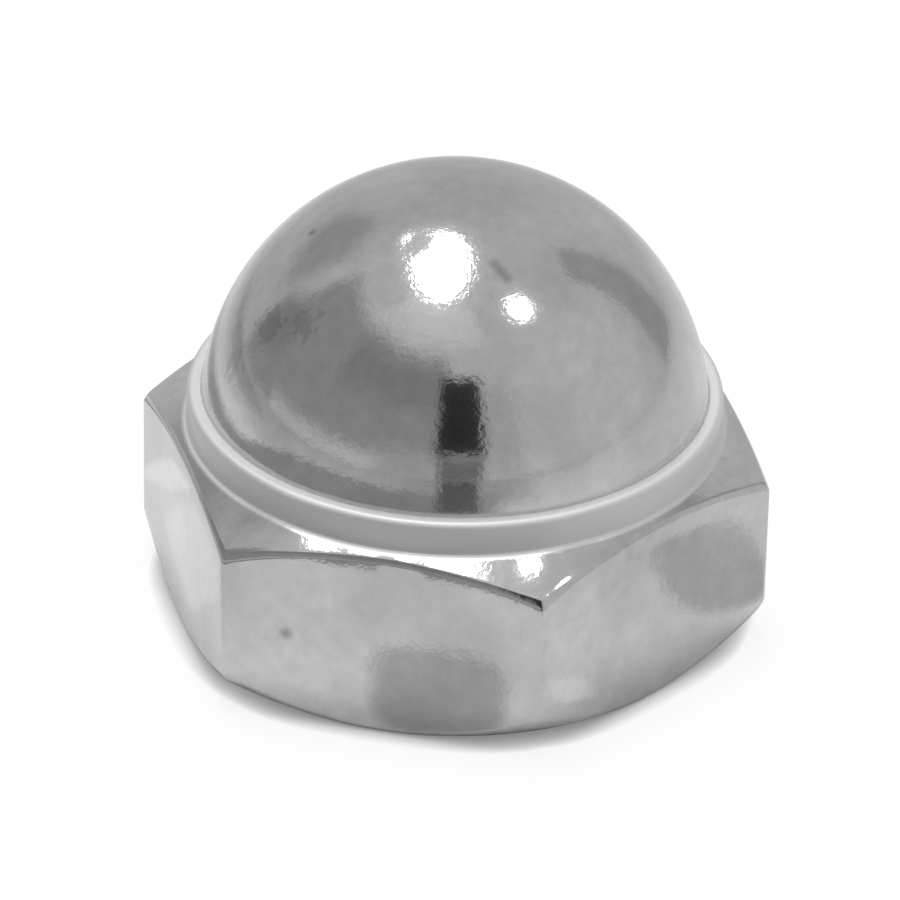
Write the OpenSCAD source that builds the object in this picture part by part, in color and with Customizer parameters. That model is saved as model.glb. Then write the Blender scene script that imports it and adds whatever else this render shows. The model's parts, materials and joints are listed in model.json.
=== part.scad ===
// Low-form cap nut, turned and milled in one piece from hexagon bar.
// The origin is the centre of the bearing face, and +Z runs up the thread's axis to the top of the dome.
// Two corners of the hexagon lie on the X axis, and two of its flats face along Y.
// All sizes are in millimetres, and angles are in degrees.

/* [Hexagon] */
// Distance across the flats
across_flats = 17; // [16.6:0.1:19]
// Height of the six corners, where the top chamfer starts
corner_h = 5.3; // [4:0.05:6]
// Slope of the top chamfer, from the horizontal
top_chamfer_angle = 27; // [20:1:34]
// Height to which the chamfer at the bottom reaches up the corners
base_chamfer_h = 1.05; // [0.4:0.05:1.6]
// Diameter of the flat bearing face
bearing_d = 16.7; // [15:0.1:17.6]
// Radius on the six upright edges
edge_r = 0.25; // [0.1:0.05:0.6]

/* [Collar] */
// Outer diameter of the upright collar round the foot of the dome
collar_d = 16.2; // [16:0.1:16.9]
// How far the collar's side stands up from the chamfer's slope
collar_h = 1; // [0.6:0.05:1.4]
// Radius on the collar's top edge
collar_edge_r = 0.2; // [0.1:0.05:0.3]

/* [Dome] */
// Diameter of the dome
dome_d = 15.4; // [14.8:0.1:15.6]
// Height of the whole nut, from the bearing face to the top of the dome
nut_h = 14; // [13.2:0.1:20]
// Radius of the fine groove that parts the dome from the collar
groove_r = 0.1; // [0.05:0.01:0.14]

/* [Tapped hole] */
// Diameter of the hole before it is tapped
bore_d = 8.5; // [5:0.1:8.8]
// Depth of the hole's straight wall, from the bearing face
bore_depth = 10; // [7:0.1:10.4]
// Included angle of the drill's point
drill_angle = 118; // [90:1:140]
// Diameter of the countersink at the hole's mouth
countersink_d = 10.8; // [9.5:0.1:13]
// Included angle of the countersink
countersink_angle = 90; // [80:5:120]

/* [Hidden] */
$fn = 96;

// How far a cutting or trimming shape runs past the metal
spare = 1;
// Straight steps round each upright edge
edge_steps = 4;

corner_r = across_flats / 2 / cos(30);
edge_centre_r = corner_r - edge_r / cos(30);
bearing_r = bearing_d / 2;
dome_r = dome_d / 2;
dome_z = nut_h - dome_r;
collar_r = collar_d / 2;
collar_top_z = chamfer_z(collar_r) + collar_h;
// Height inside the hexagon from which the collar and dome rise, so that all three share metal
root_z = corner_h / 2;
// Radius at which the slope ends, out of sight inside the dome
slope_end_r = dome_r - spare;
bore_r = bore_d / 2;
countersink_r = countersink_d / 2;
countersink_h = (countersink_r - bore_r) / tan(countersink_angle / 2);

// Height of the top chamfer's cone at radius r
function chamfer_z(r) = corner_h + (corner_r - r) * tan(top_chamfer_angle);

// Height of the bottom chamfer's cone at radius r
function base_z(r) = base_chamfer_h * (r - bearing_r) / (corner_r - bearing_r);

// The hexagon's outline, with an arc at each corner that ends where the flats begin
function hexagon_outline() = [
    for (corner = [0:5], step = [0:edge_steps])
        let (turn = corner * 60, around = turn + 60 * (step / edge_steps - 0.5))
            [
                edge_centre_r * cos(turn) + edge_r * cos(around),
                edge_centre_r * sin(turn) + edge_r * sin(around)
            ]
];

// The bar's blank: both chamfers are cones, so they end in a curved edge on each flat
module hexagon() {
    reach_r = corner_r + spare;
    intersection() {
        translate([0, 0, -spare]) linear_extrude(height = nut_h) polygon(hexagon_outline());
        rotate_extrude()
            polygon([
                [0, 0],
                [bearing_r, 0],
                [reach_r, base_z(reach_r)],
                [reach_r, chamfer_z(reach_r)],
                [slope_end_r, chamfer_z(slope_end_r)],
                [0, chamfer_z(slope_end_r)]
            ]);
    }
}

// The short upright collar, with its top edge rounded
module collar() {
    edge_centre = [collar_r - collar_edge_r, collar_top_z - collar_edge_r];
    rotate_extrude() {
        translate([0, root_z]) square([edge_centre[0], collar_top_z - root_z]);
        translate([0, root_z]) square([collar_r, edge_centre[1] - root_z]);
        translate(edge_centre) circle(r = collar_edge_r);
    }
}

// The dome, on a straight root that shows only where the nut is tall enough for it
module dome() {
    rotate_extrude()
        intersection() {
            union() {
                translate([0, dome_z]) circle(r = dome_r);
                square([dome_r, dome_z]);
            }
            translate([0, root_z]) square([dome_r + spare, nut_h]);
        }
}

// The fine groove where the collar's top meets the dome
module groove() {
    rise = max(collar_top_z - dome_z, 0);
    rotate_extrude()
        translate([sqrt(dome_r * dome_r - rise * rise), collar_top_z])
            circle(r = groove_r);
}

// The blind hole, with the drill's point at its end and a countersunk mouth
module tapped_hole() {
    mouth_r = countersink_r + spare * tan(countersink_angle / 2);
    rotate_extrude()
        polygon([
            [0, -spare],
            [mouth_r, -spare],
            [bore_r, countersink_h],
            [bore_r, bore_depth],
            [0, bore_depth + bore_r / tan(drill_angle / 2)]
        ]);
}

module cap_nut() {
    color("silver")
        difference() {
            union() {
                hexagon();
                collar();
                dome();
            }
            groove();
            tapped_hole();
        }
}

cap_nut();
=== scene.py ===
import json
from math import asin, atan2, cos, hypot, pi, radians, sin, sqrt, tan

import bpy
from mathutils import Matrix, Vector, noise


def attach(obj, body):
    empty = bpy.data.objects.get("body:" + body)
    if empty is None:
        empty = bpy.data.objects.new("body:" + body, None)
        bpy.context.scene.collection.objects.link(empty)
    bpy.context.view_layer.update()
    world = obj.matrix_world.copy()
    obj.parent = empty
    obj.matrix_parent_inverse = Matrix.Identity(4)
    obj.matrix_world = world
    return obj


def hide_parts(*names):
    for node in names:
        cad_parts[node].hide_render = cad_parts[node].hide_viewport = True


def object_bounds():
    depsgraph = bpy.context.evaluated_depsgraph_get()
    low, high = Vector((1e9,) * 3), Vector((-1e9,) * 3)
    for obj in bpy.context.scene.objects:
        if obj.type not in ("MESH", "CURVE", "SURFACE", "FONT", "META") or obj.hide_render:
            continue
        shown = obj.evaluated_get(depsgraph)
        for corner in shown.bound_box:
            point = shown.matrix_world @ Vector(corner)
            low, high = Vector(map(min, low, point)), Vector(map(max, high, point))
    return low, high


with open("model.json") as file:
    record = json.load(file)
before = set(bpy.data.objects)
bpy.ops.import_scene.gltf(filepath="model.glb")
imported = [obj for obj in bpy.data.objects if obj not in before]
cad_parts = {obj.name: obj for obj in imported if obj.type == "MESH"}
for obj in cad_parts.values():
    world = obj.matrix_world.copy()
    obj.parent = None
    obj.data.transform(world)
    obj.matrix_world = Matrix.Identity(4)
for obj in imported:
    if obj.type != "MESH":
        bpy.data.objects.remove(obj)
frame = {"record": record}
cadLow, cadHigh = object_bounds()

mm = 0.001

# a cap nut on a white table: two corners of its hexagon lie on the X axis, its dome points up +Z


# small helpers for node trees

def feed(tree, socket, value):
    if isinstance(value, bpy.types.NodeSocket):
        tree.links.new(value, socket)
    else:
        socket.default_value = value


def addNode(tree, kind, inputs=None, **settings):
    node = tree.nodes.new(kind)
    for name, value in settings.items():
        setattr(node, name, value)
    for key, value in (inputs or {}).items():
        feed(tree, node.inputs[key], value)
    return node


def calc(tree, operation, *values):
    node = tree.nodes.new("ShaderNodeMath")
    node.operation = operation
    for socket, value in zip(node.inputs, values):
        feed(tree, socket, value)
    return node.outputs[0]


def smoothStep(tree, value, low, high):
    # 0 below low, 1 above high, with soft ends
    node = addNode(tree, "ShaderNodeMapRange", {"Value": value, "From Min": low, "From Max": high})
    node.interpolation_type = "SMOOTHSTEP"
    return node.outputs["Result"]


def mixColors(tree, factor, first, second, blend="MIX"):
    # this node's colours are its inputs 6 and 7, and its output 2
    node = tree.nodes.new("ShaderNodeMix")
    node.data_type = "RGBA"
    node.blend_type = blend
    feed(tree, node.inputs[0], factor)
    feed(tree, node.inputs[6], first)
    feed(tree, node.inputs[7], second)
    return node.outputs[2]


def axisDistance(tree, place):
    squares = [calc(tree, "MULTIPLY", part, part) for part in (place[0], place[1])]
    return calc(tree, "SQRT", calc(tree, "ADD", *squares))


def addSocket(tree, name, kind, value=None, way="INPUT"):
    socket = tree.interface.new_socket(name=name, in_out=way, socket_type="NodeSocket" + kind)
    if value is not None:
        socket.default_value = value
    return socket


# the camera stands where the photograph was taken from

cameraView = {
    "azimuth": 13.7,          # degrees round from the front, towards +X
    "elevation": 30.7,
    "roll": 1.25,
    "distance": 222 * mm,
    "sideways": -0.116 * mm,
    "aimHeight": 4.92 * mm,
    "lens": 293.1,            # on a 36 mm sensor
}


def makeCamera(view):
    around, above, turn = (radians(view[key]) for key in ("azimuth", "elevation", "roll"))
    back = Vector((sin(around) * cos(above), -cos(around) * cos(above), sin(above)))
    right = Vector((cos(around), sin(around), 0))
    up = back.cross(right)
    tiltedRight = right * cos(turn) + up * sin(turn)
    tiltedUp = up * cos(turn) - right * sin(turn)
    data = bpy.data.cameras.new("photoCamera")
    data.lens = view["lens"]
    data.sensor_width = 36.0
    data.clip_start, data.clip_end = 0.01, 10.0
    camera = bpy.data.objects.new("photoCamera", data)
    bpy.context.collection.objects.link(camera)
    turned = Matrix((tiltedRight, tiltedUp, back)).transposed().to_4x4()
    aim = Vector((0, 0, view["aimHeight"])) + right * view["sideways"]
    camera.matrix_world = Matrix.Translation(aim + back * view["distance"]) @ turned
    bpy.context.scene.camera = camera


makeCamera(cameraView)
print("camera placed")

# the nut's outer skin: a turned profile whose radius is cut off by the hexagon's flats

acrossFlats = cadHigh.y - cadLow.y
nutHeight = cadHigh.z - cadLow.z
threadMount = next(m for m in frame["record"]["mounts"] if m["name"] == "thread")

nutShape = {
    "cornerHeight": 5.3 * mm,
    "topChamfer": radians(27),
    "baseChamferHeight": 1.05 * mm,
    "bearingRadius": 8.35 * mm,
    "edgeRadius": 0.25 * mm,        # on the upright edges
    # sizes of soft arcs: the radius that each would have at a right-angled corner
    "rimRadius": 0.08 * mm,         # where the flats meet the chamfers
    "tipRadius": 0.16 * mm,         # the same at the six corners, which wear first
    "collarEdge": 0.2 * mm,
    "collarFootFillet": 0.02 * mm,
    "footFillet": 0.06 * mm,        # round the bearing face
    "leastBevel": 0.12 * mm,        # of the bottom chamfer, in the middle of each flat
    "collarRadius": 8.1 * mm,
    "collarHeight": 1.0 * mm,
    "domeRadius": 7.7 * mm,
    "grooveDepth": 0.04 * mm,
    "grooveWidth": 0.04 * mm,
    "grooveTurn": radians(1),       # from the groove to the dome's first row
    "mouthRadius": 5.4 * mm,
    "cornerSteps": 8,
    "flatSteps": 40,
    "domeSteps": 44,
    "filletSteps": 5,
    "wave": 0.006 * mm,             # how far the polished surface wanders
    "waveSize": 3.0 * mm,
    "waveStart": 0.3 * mm,          # above the bearing face, which is true
}

cornerRadius = acrossFlats / 2 / cos(pi / 6)
edgeCentre = cornerRadius - nutShape["edgeRadius"] / cos(pi / 6)
domeCentre = nutHeight - nutShape["domeRadius"]


def slopeHeight(radius):
    # height of the top chamfer's cone at a radius
    return nutShape["cornerHeight"] + (cornerRadius - radius) * tan(nutShape["topChamfer"])


def hexagonRadius(angle):
    # distance from the axis to the hexagon's outline, with its corners rounded
    fromCorner = abs((angle + pi / 6) % (pi / 3) - pi / 6)
    edge = nutShape["edgeRadius"]
    arcEnd = atan2(edge * sin(pi / 6), edgeCentre + edge * cos(pi / 6))
    if fromCorner < arcEnd:
        return edgeCentre * cos(fromCorner) + sqrt(edge ** 2 - (edgeCentre * sin(fromCorner)) ** 2)
    return acrossFlats / 2 / cos(pi / 6 - fromCorner)


def columnAngles():
    # close together round each corner, and even along the flats
    edge = nutShape["edgeRadius"]
    arcEnd = atan2(edge * sin(pi / 6), edgeCentre + edge * cos(pi / 6))
    angles = []
    for corner in range(6):
        start = corner * pi / 3
        for step in range(nutShape["cornerSteps"]):
            angles.append(start - arcEnd + 2 * arcEnd * step / nutShape["cornerSteps"])
        for step in range(nutShape["flatSteps"]):
            angles.append(start + arcEnd + (pi / 3 - 2 * arcEnd) * step / nutShape["flatSteps"])
    return angles


def between(first, second, share):
    return first[0] + (second[0] - first[0]) * share, first[1] + (second[1] - first[1]) * share


def cornerArc(before, corner, after, size, steps):
    # a soft arc in place of a corner: the slighter the turn, the further it reaches
    beforeLength = hypot(before[0] - corner[0], before[1] - corner[1])
    afterLength = hypot(after[0] - corner[0], after[1] - corner[1])
    inside = ((before[0] - corner[0]) * (after[0] - corner[0])
              + (before[1] - corner[1]) * (after[1] - corner[1])) / (beforeLength * afterLength)
    halfTurn = (pi / 2 + asin(max(-1, min(1, inside)))) / 2
    # it leaves a little of both lines straight
    reach = min(size / tan(halfTurn), 0.45 * beforeLength, 0.45 * afterLength)
    start = between(corner, before, reach / beforeLength)
    end = between(corner, after, reach / afterLength)
    arc = []
    for step in range(steps + 1):
        share = step / steps
        middle = 2 * share * (1 - share)
        pull = middle * sin(halfTurn) / (1 + (1 / sin(halfTurn) - 1) * middle)      # nearly a circle
        weighted = ((1 - share) ** 2, start), (pull, corner), (share ** 2, end)
        total = sum(weight for weight, point in weighted)
        arc.append(tuple(sum(weight * point[axis] for weight, point in weighted) / total for axis in (0, 1)))
    return arc


def roundedPath(points, filletSteps):
    # points are (radius, height, arc size, steps to the next point), and a corner of size 0 stays sharp
    path = [points[0][:2]]
    for index in range(1, len(points)):
        corner, size = points[index][:2], points[index][2]
        if index == len(points) - 1 or size == 0:
            arc = [corner]
        else:
            arc = cornerArc(points[index - 1], corner, points[index + 1], size, filletSteps)
        steps = points[index - 1][3]
        last = path[-1]
        path += [between(last, arc[0], step / steps) for step in range(1, steps)]
        path += arc
    return path


def nutProfile(angle):
    shape = nutShape
    wall = hexagonRadius(angle)
    baseSlope = shape["baseChamferHeight"] / (cornerRadius - shape["bearingRadius"])
    toCorner = (wall - acrossFlats / 2) / (cornerRadius - acrossFlats / 2)
    rim = shape["rimRadius"] + (shape["tipRadius"] - shape["rimRadius"]) * toCorner ** 2
    footRadius = min(shape["bearingRadius"], wall - shape["leastBevel"])
    wallFoot = max(baseSlope * (wall - shape["bearingRadius"]), shape["leastBevel"])
    collarFoot = slopeHeight(shape["collarRadius"])
    collarTop = collarFoot + shape["collarHeight"]
    domeRadius = shape["domeRadius"]
    domeFoot = sqrt(domeRadius ** 2 - (collarTop - domeCentre) ** 2)
    startAngle = asin((collarTop - domeCentre) / domeRadius) + shape["grooveTurn"]
    points = [
        (shape["mouthRadius"], 0, 0, 6),
        (footRadius, 0, shape["footFillet"], 4),
        (wall, wallFoot, rim, 8),
        (wall, slopeHeight(wall), rim, 8),
        (shape["collarRadius"], collarFoot, shape["collarFootFillet"], 3),
        (shape["collarRadius"], collarTop, shape["collarEdge"], 3),
        (domeFoot + shape["grooveWidth"], collarTop, 0, 1),
        (domeFoot, collarTop - shape["grooveDepth"], 0, 1),
        (domeRadius * cos(startAngle), domeCentre + domeRadius * sin(startAngle), 0, 1),
    ]
    path = roundedPath(points, shape["filletSteps"])
    for step in range(1, shape["domeSteps"] + 1):
        lift = startAngle + (pi / 2 - startAngle) * step / shape["domeSteps"]
        path.append((domeRadius * cos(lift), domeCentre + domeRadius * sin(lift)))
    return path


def unevenSkin(mesh):
    # a tumbled, plated surface is never quite true: each point sinks a few microns
    normals = [vertex.normal.copy() for vertex in mesh.vertices]
    for index, vertex in enumerate(mesh.vertices):
        if vertex.co.z < nutShape["waveStart"]:
            continue
        drift = 0.5 + 0.5 * noise.noise(vertex.co / nutShape["waveSize"])
        vertex.co -= normals[index] * drift * nutShape["wave"]


def makeSkin():
    angles = columnAngles()
    columns = len(angles)
    vertices, faces = [], []
    for index, angle in enumerate(angles):
        evenAngle = 2 * pi * index / columns
        for row, (radius, height) in enumerate(nutProfile(angle)[:-1]):
            direction = evenAngle if row == 0 else angle      # the mouth's ring matches the bore's columns
            vertices.append((radius * cos(direction), radius * sin(direction), height))
    rows = len(vertices) // columns
    for index in range(columns):
        here, there = index * rows, (index + 1) % columns * rows
        for row in range(rows - 1):
            faces.append((here + row, there + row, there + row + 1, here + row + 1))
    top = len(vertices)
    vertices.append((0, 0, nutHeight))
    for index in range(columns):
        faces.append((index * rows + rows - 1, (index + 1) % columns * rows + rows - 1, top))
    mesh = bpy.data.meshes.new("nutSkin")
    mesh.from_pydata(vertices, [], faces)
    mesh.update()
    unevenSkin(mesh)
    skin = bpy.data.objects.new("nutSkin", mesh)
    bpy.context.collection.objects.link(skin)
    print("skin made:", columns, "columns of", rows, "points")
    return skin, columns


# the bore is a geometry node tree: its thread follows a helix, so each column of points starts a bit higher

boreSizes = {
    "Pitch": 1.5 * mm,
    "Minor Radius": threadMount["dims"]["r_mm"] * mm,
    "Major Radius": 5.02 * mm,
    "Thread Top": 8.4 * mm,
    "Bore Depth": 10.0 * mm,
    "Point Depth": 12.55 * mm,
    "Mouth Radius": nutShape["mouthRadius"],
    "Rows Per Pitch": 20,
}


def buildBoreTree():
    tree = bpy.data.node_groups.new("tappedBore", "GeometryNodeTree")
    addSocket(tree, "Skin", "Geometry")
    addSocket(tree, "Columns", "Int", 288)
    for name, value in boreSizes.items():
        addSocket(tree, name, "Int" if isinstance(value, int) else "Float", value)
    addSocket(tree, "Material", "Material")
    addSocket(tree, "Nut", "Geometry", way="OUTPUT")
    given = tree.nodes.new("NodeGroupInput").outputs
    pitch, minor, major = given["Pitch"], given["Minor Radius"], given["Major Radius"]
    threadTop, mouth = given["Thread Top"], given["Mouth Radius"]
    columnCount = calc(tree, "ADD", given["Columns"], 1.0)

    def gridAt(rows):
        # a unit grid, and its two coordinates from 0 to 1
        grid = addNode(tree, "GeometryNodeMeshGrid",
                       {"Size X": 1.0, "Size Y": 1.0, "Vertices X": columnCount, "Vertices Y": rows})
        position = tree.nodes.new("GeometryNodeInputPosition").outputs[0]
        place = addNode(tree, "ShaderNodeSeparateXYZ", {0: position}).outputs
        return grid.outputs["Mesh"], calc(tree, "ADD", place[0], 0.5), calc(tree, "ADD", place[1], 0.5)

    def wrap(mesh, around, radius, height):
        # lays the grid round the axis
        angle = calc(tree, "MULTIPLY", around, 2 * pi)
        x = calc(tree, "MULTIPLY", radius, calc(tree, "COSINE", angle))
        y = calc(tree, "MULTIPLY", radius, calc(tree, "SINE", angle))
        place = addNode(tree, "ShaderNodeCombineXYZ", {0: x, 1: y, 2: height}).outputs[0]
        return addNode(tree, "GeometryNodeSetPosition", {"Geometry": mesh, "Position": place}).outputs[0]

    # thread: one turn more than its height holds, so that the rows can be cut off level at both ends
    turns = calc(tree, "ADD", calc(tree, "CEIL", calc(tree, "DIVIDE", threadTop, pitch)), 1.0)
    rows = calc(tree, "ADD", calc(tree, "MULTIPLY", turns, given["Rows Per Pitch"]), 1.0)
    mesh, around, along = gridAt(rows)
    turn = calc(tree, "MULTIPLY", along, turns)
    risen = calc(tree, "MULTIPLY", calc(tree, "ADD", calc(tree, "SUBTRACT", turn, 1.0), around), pitch)
    height = calc(tree, "MINIMUM", calc(tree, "MAXIMUM", risen, 0.0), threadTop)
    # 60 degree flanks, an eighth of the pitch flat at the root
    depth = calc(tree, "SUBTRACT", major, minor)
    flank = calc(tree, "MULTIPLY", depth, tan(radians(30)))
    offRoot = calc(tree, "ABSOLUTE", calc(tree, "SUBTRACT", calc(tree, "FRACT", turn), 0.5))
    fromRoot = calc(tree, "MULTIPLY", offRoot, pitch)
    rootEdge = calc(tree, "DIVIDE", pitch, 16.0)
    cut = calc(tree, "DIVIDE", calc(tree, "SUBTRACT", calc(tree, "ADD", rootEdge, flank), fromRoot), flank)
    cut = calc(tree, "MINIMUM", calc(tree, "MAXIMUM", cut, 0.0), 1.0)
    runOut = smoothStep(tree, height, threadTop, calc(tree, "SUBTRACT", threadTop, pitch))
    cutDepth = calc(tree, "MULTIPLY", calc(tree, "MULTIPLY", depth, cut), runOut)
    threadRadius = calc(tree, "ADD", minor, cutDepth)
    countersink = calc(tree, "SUBTRACT", mouth, height)      # a 90 degree cone
    thread = wrap(mesh, around, calc(tree, "MAXIMUM", threadRadius, countersink), height)

    # end: the plain drilled wall above the thread, then the drill's point
    mesh, around, along = gridAt(11)      # five rows for the wall and five for the point
    wallShare = calc(tree, "MINIMUM", calc(tree, "MULTIPLY", along, 2.0), 1.0)
    pointShare = calc(tree, "MAXIMUM", calc(tree, "SUBTRACT", calc(tree, "MULTIPLY", along, 2.0), 1.0), 0.0)
    wallRise = calc(tree, "MULTIPLY", calc(tree, "SUBTRACT", given["Bore Depth"], threadTop), wallShare)
    pointDepth = calc(tree, "SUBTRACT", given["Point Depth"], given["Bore Depth"])
    pointRise = calc(tree, "MULTIPLY", pointDepth, pointShare)
    height = calc(tree, "ADD", threadTop, calc(tree, "ADD", wallRise, pointRise))
    radius = calc(tree, "MULTIPLY", minor, calc(tree, "SUBTRACT", 1.0, pointShare))
    end = wrap(mesh, around, radius, height)

    joined = tree.nodes.new("GeometryNodeJoinGeometry")
    for part in (end, thread):
        tree.links.new(part, joined.inputs[0])
    turnedIn = addNode(tree, "GeometryNodeFlipFaces", {"Mesh": joined.outputs[0]})
    whole = tree.nodes.new("GeometryNodeJoinGeometry")
    for part in (turnedIn.outputs[0], given["Skin"]):
        tree.links.new(part, whole.inputs[0])
    merged = addNode(tree, "GeometryNodeMergeByDistance", {
        "Geometry": whole.outputs[0], "Distance": 0.004 * mm})
    smooth = addNode(tree, "GeometryNodeSetShadeSmooth", {
        "Geometry": merged.outputs[0], "Shade Smooth": True})
    # the groove and the thread's crests stay crisp
    edgeAngle = tree.nodes.new("GeometryNodeInputMeshEdgeAngle").outputs["Unsigned Angle"]
    crisp = addNode(tree, "GeometryNodeSetShadeSmooth", {
        "Geometry": smooth.outputs[0], "Selection": calc(tree, "GREATER_THAN", edgeAngle, radians(35)),
        "Shade Smooth": False}, domain="EDGE")
    real = addNode(tree, "GeometryNodeRealizeInstances", {"Geometry": crisp.outputs[0]})
    dressed = addNode(tree, "GeometryNodeSetMaterial", {
        "Geometry": real.outputs[0], "Material": given["Material"]})
    out = tree.nodes.new("NodeGroupOutput")
    tree.links.new(dressed.outputs[0], out.inputs[0])
    return tree


def makeNut(material):
    skin, columns = makeSkin()
    tree = buildBoreTree()
    modifier = skin.modifiers.new("bore", "NODES")
    modifier.node_group = tree
    values = dict(boreSizes, Columns=columns, Material=material)
    for item in tree.interface.items_tree:
        if item.in_out == "INPUT" and item.name in values:
            modifier[item.identifier] = values[item.name]
    flat = skin.modifiers.new("flatsStayFlat", "WEIGHTED_NORMAL")
    flat.keep_sharp = True
    evaluated = skin.evaluated_get(bpy.context.evaluated_depsgraph_get())
    mesh = bpy.data.meshes.new_from_object(evaluated)
    mesh.name = "capNut"
    nut = bpy.data.objects.new("capNut", mesh)
    bpy.context.collection.objects.link(nut)
    bpy.data.objects.remove(skin)
    print("nut made:", len(mesh.polygons), "faces")
    return nut


# bright nickel plating

nickelLook = {
    "color": 0.62,
    "colorDrift": 0.045,
    "smudgeSize": 4.0 * mm,
    "mottling": 0.4,
    "mottleSize": 0.5 * mm,
    "grainSize": 0.16 * mm,
    "grainDepth": 0.0038 * mm,
    "peelSize": 0.55 * mm,          # the plating's slight orange peel
    "peelDepth": 0.004 * mm,
    "roughness": 0.09,
    "smudgeRoughness": 0.1,
    "collarRoughness": 0.72,        # a polishing wheel doesn't reach in there
    "collarColor": 0.78,
    "haze": 0.7,
    "hazeRoughness": 0.3,
    "raggedSize": 0.3 * mm,
    "raggedReach": 1.6 * mm,
    "faultColor": (0.05, 0.05, 0.05, 1),
}

# places where the plating is duller, with ragged edges: place in mm, radius in mm, how dark
stains = {
    "stainSide": ((-4.72, -4.16, 10.74), 0.95, 0.25),
    "stainFront": ((-3.48, -4.68, 11.33), 0.85, 0.2),
    "stainLow": ((-5.8, -4.1, 9.3), 0.8, 0.2),
}

# small faults: place in mm, radius in mm, how dark, height in mm (a pit is below 0)
faults = {
    "pit": ((-2.9, -8.5, 3.0), 0.34, 0.5, -0.01),
    "speck": ((-4.11, -1.51, 12.63), 0.22, 0.6, 0.0),
    "scratchStart": ((1.8, -2.87, 13.21), 0.3, 0.4, 0.0),
    "scratchMiddle": ((2.02, -3.01, 13.08), 0.3, 0.45, 0.0),
    "scratchEnd": ((2.25, -3.15, 12.95), 0.3, 0.4, 0.0),
    "crownDent": ((-0.72, -2.68, 13.48), 0.75, 0.0, -0.035),
    "leftLump": ((-3.22, -7.8, 6.0), 2.0, 0.0, 0.12),
    "middleLump": ((0.56, -8.29, 6.07), 0.9, 0.0, 0.06),
    "cornerLump": ((5.05, -7.1, 5.8), 1.6, 0.0, 0.115),
}

# the top of the dome is scuffed
scuff = {"place": (0.3, -3.5, 13.2), "radius": 2.3, "strength": 1.6}


def buildFaultMask():
    # 1 in the middle of a round spot, falling softly to 0 at its radius
    tree = bpy.data.node_groups.new("faultSpot", "ShaderNodeTree")
    addSocket(tree, "Place", "Vector")
    addSocket(tree, "Middle", "Vector")
    addSocket(tree, "Radius", "Float", 0.001)
    addSocket(tree, "Mask", "Float", way="OUTPUT")
    given = tree.nodes.new("NodeGroupInput").outputs
    away = addNode(tree, "ShaderNodeVectorMath", {0: given["Place"], 1: given["Middle"]},
                   operation="DISTANCE").outputs["Value"]
    out = tree.nodes.new("NodeGroupOutput")
    tree.links.new(smoothStep(tree, away, given["Radius"], 0.0), out.inputs[0])
    return tree


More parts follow.
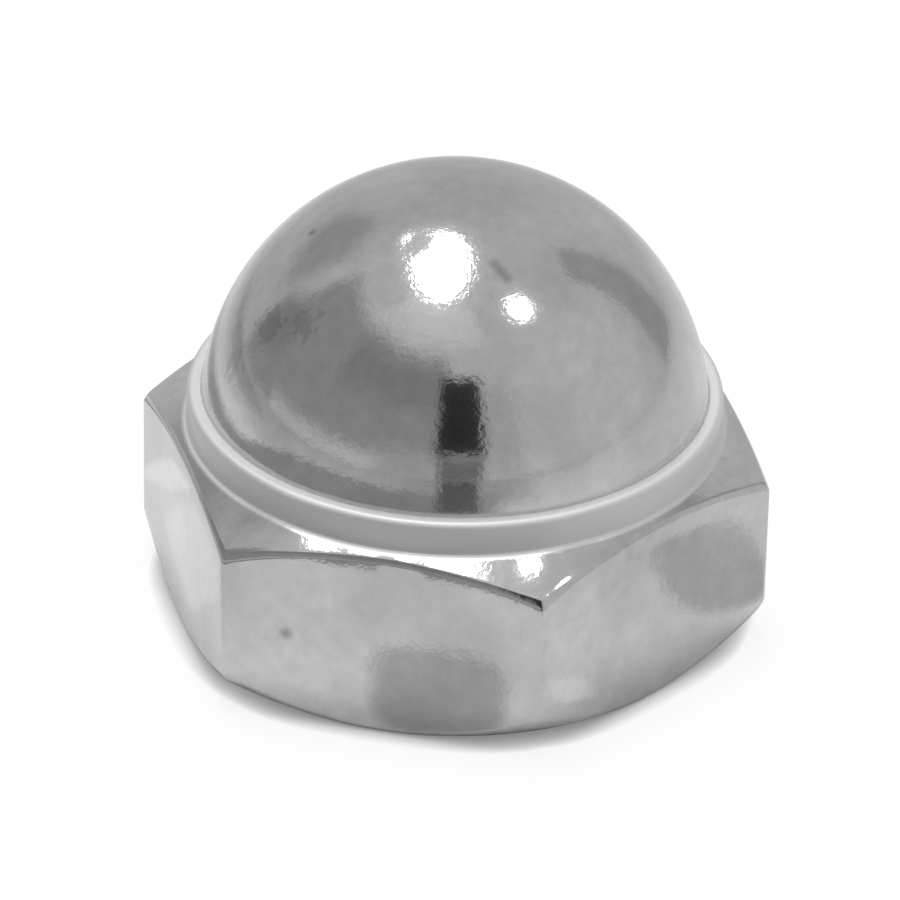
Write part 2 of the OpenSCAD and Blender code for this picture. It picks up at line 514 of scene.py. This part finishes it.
def makeNickel():
    material = bpy.data.materials.new("brightNickel")
    material.use_nodes = True
    tree = material.node_tree
    tree.nodes.clear()
    place = tree.nodes.new("ShaderNodeTexCoord").outputs["Object"]
    look = nickelLook

    def grain(size, detail=2.0, roughness=0.5, output="Fac"):
        return addNode(tree, "ShaderNodeTexNoise", {
            "Vector": place, "Scale": 1 / size, "Detail": detail, "Roughness": roughness}).outputs[output]

    smudge = smoothStep(tree, grain(look["smudgeSize"], 4.0), 0.42, 0.62)
    bright, dull = look["color"] + look["colorDrift"], look["color"] - look["colorDrift"]
    color = mixColors(tree, smudge, (bright, bright, bright, 1), (dull, dull, dull, 1))
    mottle = calc(tree, "SUBTRACT", grain(look["mottleSize"], 3.0, 0.6), 0.5)
    mottle = calc(tree, "ADD", 1.0, calc(tree, "MULTIPLY", mottle, look["mottling"]))
    color = mixColors(tree, 1.0, color, mottle, "MULTIPLY")
    roughness = addNode(tree, "ShaderNodeMapRange", {
        "Value": smudge, "To Min": look["roughness"], "To Max": look["smudgeRoughness"]}).outputs[0]

    # the collar is paler and duller than the rest
    split = addNode(tree, "ShaderNodeSeparateXYZ", {0: place}).outputs
    fromAxis = axisDistance(tree, split)
    outside, inside = nutShape["collarRadius"], nutShape["domeRadius"]
    low = slopeHeight(outside)
    high = low + nutShape["collarHeight"]
    onCollar = calc(tree, "MULTIPLY",
                    smoothStep(tree, fromAxis, outside + 0.25 * mm, outside + 0.05 * mm),
                    smoothStep(tree, fromAxis, inside - 0.3 * mm, inside - 0.1 * mm))
    onCollar = calc(tree, "MULTIPLY", onCollar, smoothStep(tree, split[2], low - 0.3 * mm, low))
    onCollar = calc(tree, "MULTIPLY", onCollar, smoothStep(tree, split[2], high + 0.15 * mm, high))
    color = mixColors(tree, onCollar, color, (look["collarColor"],) * 3 + (1,))
    roughness = calc(tree, "ADD", roughness,
                     calc(tree, "MULTIPLY", onCollar, look["collarRoughness"] - look["roughness"]))

    faultMask = buildFaultMask()

    def spotAt(name, where, middle, radius):
        spot = addNode(tree, "ShaderNodeGroup", None, node_tree=faultMask, label=name)
        feed(tree, spot.inputs["Place"], where)
        feed(tree, spot.inputs["Middle"], tuple(part * mm for part in middle))
        feed(tree, spot.inputs["Radius"], radius * mm)
        return spot.outputs[0]

    wander = grain(look["raggedSize"], 3.0, output="Color")
    wander = addNode(tree, "ShaderNodeVectorMath", {0: wander, 1: (0.5, 0.5, 0.5)},
                     operation="SUBTRACT").outputs[0]
    ragged = addNode(tree, "ShaderNodeVectorMath", {
        0: wander, 1: (look["raggedReach"],) * 3, 2: place}, operation="MULTIPLY_ADD").outputs[0]
    for name, (middle, radius, darkness) in stains.items():
        stained = smoothStep(tree, spotAt(name, ragged, middle, radius), 0.2, 0.5)
        color = mixColors(tree, calc(tree, "MULTIPLY", stained, darkness), color, look["faultColor"])
    relief = 0.0
    for name, (middle, radius, darkness, height) in faults.items():
        spot = spotAt(name, place, middle, radius)
        if height:
            relief = calc(tree, "ADD", relief, calc(tree, "MULTIPLY", spot, height))
        if darkness:
            color = mixColors(tree, calc(tree, "MULTIPLY", spot, darkness), color, look["faultColor"])
    scuffSpot = spotAt("scuff", place, scuff["place"], scuff["radius"])
    scuffed = calc(tree, "MULTIPLY", scuffSpot, scuff["strength"])
    fineGrain = calc(tree, "MULTIPLY", grain(look["grainSize"]), calc(tree, "ADD", 1.0, scuffed))

    # three reliefs, one on the other
    peel = grain(look["peelSize"])
    normal = None
    for height, distance in ((relief, mm), (fineGrain, look["grainDepth"]), (peel, look["peelDepth"])):
        bump = addNode(tree, "ShaderNodeBump", {"Strength": 1.0, "Distance": distance, "Height": height})
        if normal is not None:
            feed(tree, bump.inputs["Normal"], normal)
        normal = bump.outputs[0]
    shader = addNode(tree, "ShaderNodeBsdfPrincipled", {
        "Base Color": color, "Metallic": 1.0, "Roughness": roughness, "Normal": normal,
        "Coat Weight": look["haze"], "Coat Roughness": look["hazeRoughness"]})
    out = tree.nodes.new("ShaderNodeOutputMaterial")
    tree.links.new(shader.outputs[0], out.inputs[0])
    return material


nut = makeNut(makeNickel())
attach(nut, "root")
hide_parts("cap_nut")

# the studio: a light tent round a white table

viewTurn = radians(cameraView["azimuth"])


def fromCamera(azimuth, elevation, distance):
    # a place by its direction from the nut: azimuth 0 is below the camera, and it grows to its right
    around = viewTurn + radians(azimuth)
    lift = radians(elevation)
    return Vector((sin(around) * cos(lift), -cos(around) * cos(lift), sin(lift))) * distance


tent = {
    "radius": 450 * mm,
    "grey": 0.57,
    # each patch: azimuth from and to, elevation from and to, softness in degrees, grey
    "patches": [
        ("behind", 105, 255, -40, 60, 14, 0.53),
        ("backLeft", -152, -124, 18, 44, 6, 0.37),
        ("darkWall", -112, -4, 6, 53, 5, 0.30),
        ("wallEnd", -120, -92, 0, 24, 3, 0.31),
        ("wallShade", -116, -98, 12, 28, 5, 0.25),
        ("wallMiddle", -66, -6, 30, 48, 6, 0.24),
        ("pillar", 117, 135, -2, 46, 3, 0.355),
        ("glow", -70, 25, 60, 80, 7, 0.74),
        ("leftOfBar", -34, -8, -6, 10, 6, 0.42),
        ("rightOfBar", 10, 30, 0, 42, 6, 0.45),
        ("barFoot", -7, 13, -8, 10, 3, 0.17),
        ("lensBar", -8, 14, 11, 45, 3, 0.025),
    ],
}


def polarPlace(tree):
    # a point's coordinates, its distance from the nut's axis, and its turn from the camera's side in radians
    texture = tree.nodes.new("ShaderNodeTexCoord").outputs["Object"]
    place = addNode(tree, "ShaderNodeSeparateXYZ", {0: texture}).outputs
    turn = calc(tree, "ARCTAN2", place[0], calc(tree, "MULTIPLY", place[1], -1.0))
    return place, axisDistance(tree, place), calc(tree, "SUBTRACT", turn, viewTurn)


def buildPatchMask():
    # how much a direction lies inside a patch of the tent
    tree = bpy.data.node_groups.new("tentPatch", "ShaderNodeTree")
    for name in ("Azimuth", "Elevation", "Azimuth Middle", "Azimuth Half", "Elevation Low", "Elevation High",
                 "Softness"):
        addSocket(tree, name, "Float", 0.0)
    addSocket(tree, "Mask", "Float", way="OUTPUT")
    given = tree.nodes.new("NodeGroupInput").outputs
    soft = given["Softness"]
    offset = calc(tree, "SUBTRACT", given["Azimuth"], given["Azimuth Middle"])
    wrapped = calc(tree, "ABSOLUTE", calc(tree, "WRAP", offset, 180.0, -180.0))

    def inside(value, low, high):
        rise = smoothStep(tree, value, calc(tree, "SUBTRACT", low, soft), calc(tree, "ADD", low, soft))
        fall = smoothStep(tree, value, calc(tree, "ADD", high, soft), calc(tree, "SUBTRACT", high, soft))
        return calc(tree, "MULTIPLY", rise, fall)

    across = smoothStep(tree, wrapped, calc(tree, "ADD", given["Azimuth Half"], soft),
                        calc(tree, "SUBTRACT", given["Azimuth Half"], soft))
    upright = inside(given["Elevation"], given["Elevation Low"], given["Elevation High"])
    out = tree.nodes.new("NodeGroupOutput")
    tree.links.new(calc(tree, "MULTIPLY", across, upright), out.inputs[0])
    return tree


def makeTent():
    bpy.ops.mesh.primitive_uv_sphere_add(segments=96, ring_count=48, radius=tent["radius"])
    shell = bpy.context.object
    shell.name = "lightTent"
    material = bpy.data.materials.new("tentCloth")
    material.use_nodes = True
    tree = material.node_tree
    tree.nodes.clear()
    place, fromAxis, around = polarPlace(tree)
    turn = calc(tree, "MULTIPLY", around, 180 / pi)
    above = calc(tree, "MULTIPLY", calc(tree, "ARCTAN2", place[2], fromAxis), 180 / pi)
    color = (tent["grey"],) * 3 + (1,)
    patchMask = buildPatchMask()
    for name, left, right, low, high, softness, grey in tent["patches"]:
        mask = addNode(tree, "ShaderNodeGroup", None, node_tree=patchMask, label=name)
        for key, value in {"Azimuth": turn, "Elevation": above, "Azimuth Middle": (left + right) / 2,
                           "Azimuth Half": (right - left) / 2, "Elevation Low": low, "Elevation High": high,
                           "Softness": softness}.items():
            feed(tree, mask.inputs[key], value)
        color = mixColors(tree, mask.outputs[0], color, (grey, grey, grey, 1))
    light = addNode(tree, "ShaderNodeEmission", {"Color": color, "Strength": 1.0})
    out = tree.nodes.new("ShaderNodeOutputMaterial")
    tree.links.new(light.outputs[0], out.inputs[0])
    material.cycles.emission_sampling = "NONE"      # rays find the tent by themselves
    shell.data.materials.append(material)
    shell.visible_camera = False
    shell.visible_shadow = False


lamps = {
    # direction from the nut in degrees, distance, size across and along the camera's view, watts
    "overhead": {"azimuth": -144, "elevation": 80, "distance": 300 * mm,
                 "width": 104 * mm, "length": 190 * mm, "power": 0.45},
    "second": {"azimuth": 72, "elevation": 64, "distance": 300 * mm,
               "width": 50 * mm, "length": 50 * mm, "power": 0.05},
}


def addLamp(name, lamp):
    data = bpy.data.lights.new(name, "AREA")
    data.shape = "ELLIPSE"
    data.size, data.size_y = lamp["width"], lamp["length"]
    data.energy = lamp["power"]
    light = bpy.data.objects.new(name, data)
    bpy.context.collection.objects.link(light)
    place = fromCamera(lamp["azimuth"], lamp["elevation"], lamp["distance"])
    away = place.normalized()
    cameraRight = Vector((cos(viewTurn), sin(viewTurn), 0))
    along = away.cross(cameraRight).normalized()
    turned = Matrix((along.cross(away), along, away)).transposed().to_4x4()
    light.matrix_world = Matrix.Translation(place) @ turned
    light.visible_camera = False


table = {
    "size": 900 * mm,
    "shownWhite": 1.08,             # how white the camera sees it
    "shownShare": 0.8,              # the rest is what light it really gets
    "shownTone": 0.76,
    "shadowReach": 0.6 * mm,        # of the painted shadow, a dark line round the nut's foot
    "shadowDarkest": 0.22,
    "shadowPower": 1.3,
    "openReach": nutShape["bearingRadius"] - 0.05 * mm,
    # painted light and shade: the tones that the nut mirrors of it, lighter or darker by side and by
    # distance, from the nut outwards. A pair says where a tone starts and where it is full:
    # side and front run from -1 to 1, and turns are degrees round from the camera, towards its right
    "nearTone": 0.72,
    "leftTone": 0.78,
    "leftFade": (0.55, 1.1),
    "rightTone": 0.70,
    "rightFade": (0.2, 0.8),
    "footGlow": 0.15,               # painted light: how much brighter the table's tone is close to the nut
    "footGlowFade": (15 * mm, 10.5 * mm),
    "stripTone": 0.30,              # the shaded strip in front and to the left
    "stripStart": 20.5 * mm,
    "stripRise": 2 * mm,
    "stripEnd": 58 * mm,
    "stripEndLeft": 25 * mm,
    "stripWidens": (-100, -50),
    "stripTurnRight": (28, 6),
    "stripTurnLeft": (-170, -120),
    "farTone": 0.54,
    "farRightTone": 0.68,
    "farStart": 60 * mm,
    "barTone": 0.13,                # painted shade: the dark stripe that runs to the camera
    "barTurn": 2,
    "barHalfTurn": (9.5, 6.5),
    "barStart": 29 * mm,
    "barRise": 4 * mm,
    "barEnd": 230 * mm,
    "besideBarTone": 0.43,
    "besideBarTurn": (40, 12),
    "fadeOut": 1.3,                 # strip and bar fade out over 30 percent past their ends
    "edgeTone": 0.85,               # towards the tent's wall, where less light falls
    "edgeFade": (90 * mm, 420 * mm),
    "patchFade": (2.2, 0.45),
}

paintedTablePatches = {
    # patches painted into the table's tone, which the nut mirrors: painted light and shade, and one grey
    # patch. Middle and half sizes along X and Y in mm, lean, tone
    "greyPatch": (1.1, -11.1, 1.95, 2.2, 0.24, 0.5),
    "rightShade": (14.1, -0.3, 2.5, 1.6, 0.0, 0.52),
    "lightSpotLeft": (-13.3, 2.3, 0.7, 0.9, 0.0, 1.0),
    "lightSpotFront": (-10.4, -1.6, 0.7, 2.2, -0.72, 1.0),
    "lightSpotRight": (8.3, -6.6, 0.6, 0.6, 0.0, 0.95),
    "farShade": (-147, 29, 75, 50, 0.0, 0.39),
}


def makeTable():
    mesh = bpy.data.meshes.new("tableTop")
    half = table["size"] / 2
    corners = [(-half, -half, 0), (half, -half, 0), (half, half, 0), (-half, half, 0)]
    mesh.from_pydata(corners, [], [(0, 1, 2, 3)])
    floor = bpy.data.objects.new("tableTop", mesh)
    bpy.context.collection.objects.link(floor)
    floor.location.z = -0.01 * mm
    material = bpy.data.materials.new("whiteTable")
    material.use_nodes = True
    tree = material.node_tree
    tree.nodes.clear()

    def grey(value):
        return (value, value, value, 1)

    place, radius, around = polarPlace(tree)
    side = calc(tree, "SINE", around)                 # -1 at the camera's left, 1 at its right
    front = calc(tree, "COSINE", around)
    backLeft = calc(tree, "SUBTRACT", calc(tree, "MULTIPLY", side, -1.0), front)
    leftward = smoothStep(tree, backLeft, *table["leftFade"])
    rightward = smoothStep(tree, side, *table["rightFade"])
    turn = calc(tree, "WRAP", calc(tree, "MULTIPLY", around, 180 / pi), 180.0, -180.0)
    fromBar = calc(tree, "ABSOLUTE", calc(tree, "SUBTRACT", turn, table["barTurn"]))
    near = mixColors(tree, leftward, grey(table["nearTone"]), grey(table["leftTone"]))
    near = mixColors(tree, rightward, near, grey(table["rightTone"]))
    # painted light: the table's tone grows brighter close to the nut's foot
    atFoot = smoothStep(tree, radius, *table["footGlowFade"])
    brighter = calc(tree, "ADD", 1.0, calc(tree, "MULTIPLY", atFoot, table["footGlow"]))
    near = mixColors(tree, 1.0, near, brighter, "MULTIPLY")
    far = mixColors(tree, rightward, grey(table["farTone"]), grey(table["farRightTone"]))
    besideBar = smoothStep(tree, fromBar, *table["besideBarTurn"])
    far = mixColors(tree, besideBar, far, grey(table["besideBarTone"]))
    atEdge = smoothStep(tree, radius, *table["edgeFade"])
    far = mixColors(tree, atEdge, far, grey(table["edgeTone"]))
    tone = mixColors(tree, smoothStep(tree, radius, table["stripStart"], table["farStart"]), near, far)
    # the shaded strip lies in front of the nut and thins out round its left side
    widening = calc(tree, "MULTIPLY", smoothStep(tree, turn, *table["stripWidens"]),
                    table["stripEnd"] - table["stripEndLeft"])
    stripEnd = calc(tree, "ADD", table["stripEndLeft"], widening)
    strip = calc(tree, "MULTIPLY",
                 smoothStep(tree, radius, table["stripStart"], table["stripStart"] + table["stripRise"]),
                 smoothStep(tree, radius, calc(tree, "MULTIPLY", stripEnd, table["fadeOut"]), stripEnd))
    strip = calc(tree, "MULTIPLY", strip, smoothStep(tree, turn, *table["stripTurnRight"]))
    strip = calc(tree, "MULTIPLY", strip, smoothStep(tree, turn, *table["stripTurnLeft"]))
    tone = mixColors(tree, strip, tone, grey(table["stripTone"]))
    # painted shade: a dark stripe on the table that runs to the camera
    bar = calc(tree, "MULTIPLY",
               smoothStep(tree, radius, table["barStart"], table["barStart"] + table["barRise"]),
               smoothStep(tree, radius, table["barEnd"] * table["fadeOut"], table["barEnd"]))
    bar = calc(tree, "MULTIPLY", bar, smoothStep(tree, fromBar, *table["barHalfTurn"]))
    tone = mixColors(tree, bar, tone, grey(table["barTone"]))
    # each patch paints a lighter or darker tone into the table
    for middleX, middleY, halfX, halfY, lean, patchTone in paintedTablePatches.values():
        # a rounded oblong, whose far end may lean sideways
        offY = calc(tree, "SUBTRACT", place[1], middleY * mm)
        offX = calc(tree, "SUBTRACT", place[0], middleX * mm)
        offX = calc(tree, "SUBTRACT", offX, calc(tree, "MULTIPLY", offY, lean))
        shareX, shareY = calc(tree, "DIVIDE", offX, halfX * mm), calc(tree, "DIVIDE", offY, halfY * mm)
        reach = calc(tree, "ADD", calc(tree, "POWER", calc(tree, "ABSOLUTE", shareX), 4.0),
                     calc(tree, "POWER", calc(tree, "ABSOLUTE", shareY), 4.0))
        tone = mixColors(tree, smoothStep(tree, reach, *table["patchFade"]), tone, grey(patchTone))

    path = tree.nodes.new("ShaderNodeLightPath")
    seen = path.outputs["Is Camera Ray"]
    lit = addNode(tree, "ShaderNodeBsdfDiffuse", {
        "Color": mixColors(tree, seen, tone, grey(table["shownTone"]))})
    # painted shadow: the white that the camera sees is darkened by ambient occlusion round the nut's foot;
    # the lit share keeps the real shadow
    openness = addNode(tree, "ShaderNodeAmbientOcclusion", {"Distance": table["shadowReach"]}, samples=8)
    paintedContactShadow = calc(tree, "POWER", openness.outputs["AO"], table["shadowPower"])
    paintedContactShadow = calc(tree, "MULTIPLY", paintedContactShadow, 1 - table["shadowDarkest"])
    paintedContactShadow = calc(tree, "ADD", table["shadowDarkest"], paintedContactShadow)
    white = addNode(tree, "ShaderNodeEmission", {"Color": paintedContactShadow, "Strength": table["shownWhite"]})
    shown = addNode(tree, "ShaderNodeMixShader",
                    {0: calc(tree, "MULTIPLY", seen, table["shownShare"]),
                     1: lit.outputs[0], 2: white.outputs[0]})
    # from below, and right under the nut, the table lets the light through, so that the nut's foot shows
    under = calc(tree, "MAXIMUM", tree.nodes.new("ShaderNodeNewGeometry").outputs["Backfacing"],
                 calc(tree, "LESS_THAN", radius, table["openReach"]))
    clear = tree.nodes.new("ShaderNodeBsdfTransparent")
    surface = addNode(tree, "ShaderNodeMixShader", {0: under, 1: shown.outputs[0], 2: clear.outputs[0]})
    out = tree.nodes.new("ShaderNodeOutputMaterial")
    tree.links.new(surface.outputs[0], out.inputs[0])
    mesh.materials.append(material)


worldGrey = 0.55


def makeWorld():
    # the camera and mirrored rays see white, and everything else is lit by grey
    world = bpy.data.worlds.new("studio")
    world.use_nodes = True
    tree = world.node_tree
    tree.nodes.clear()
    path = tree.nodes.new("ShaderNodeLightPath").outputs
    background = calc(tree, "MAXIMUM", path["Is Camera Ray"],
                      calc(tree, "MAXIMUM", path["Is Glossy Ray"], path["Is Transmission Ray"]))
    white = addNode(tree, "ShaderNodeBackground", {"Color": (1, 1, 1, 1), "Strength": 1.0})
    plain = addNode(tree, "ShaderNodeBackground", {"Color": (worldGrey,) * 3 + (1,), "Strength": 1.0})
    both = addNode(tree, "ShaderNodeMixShader", {0: background, 1: plain.outputs[0], 2: white.outputs[0]})
    out = tree.nodes.new("ShaderNodeOutputWorld")
    tree.links.new(both.outputs[0], out.inputs[0])
    bpy.context.scene.world = world


makeTent()
for lampName, lampSizes in lamps.items():
    addLamp(lampName, lampSizes)
makeTable()
makeWorld()
bpy.context.scene.view_settings.view_transform = "Standard"
print("studio lit")
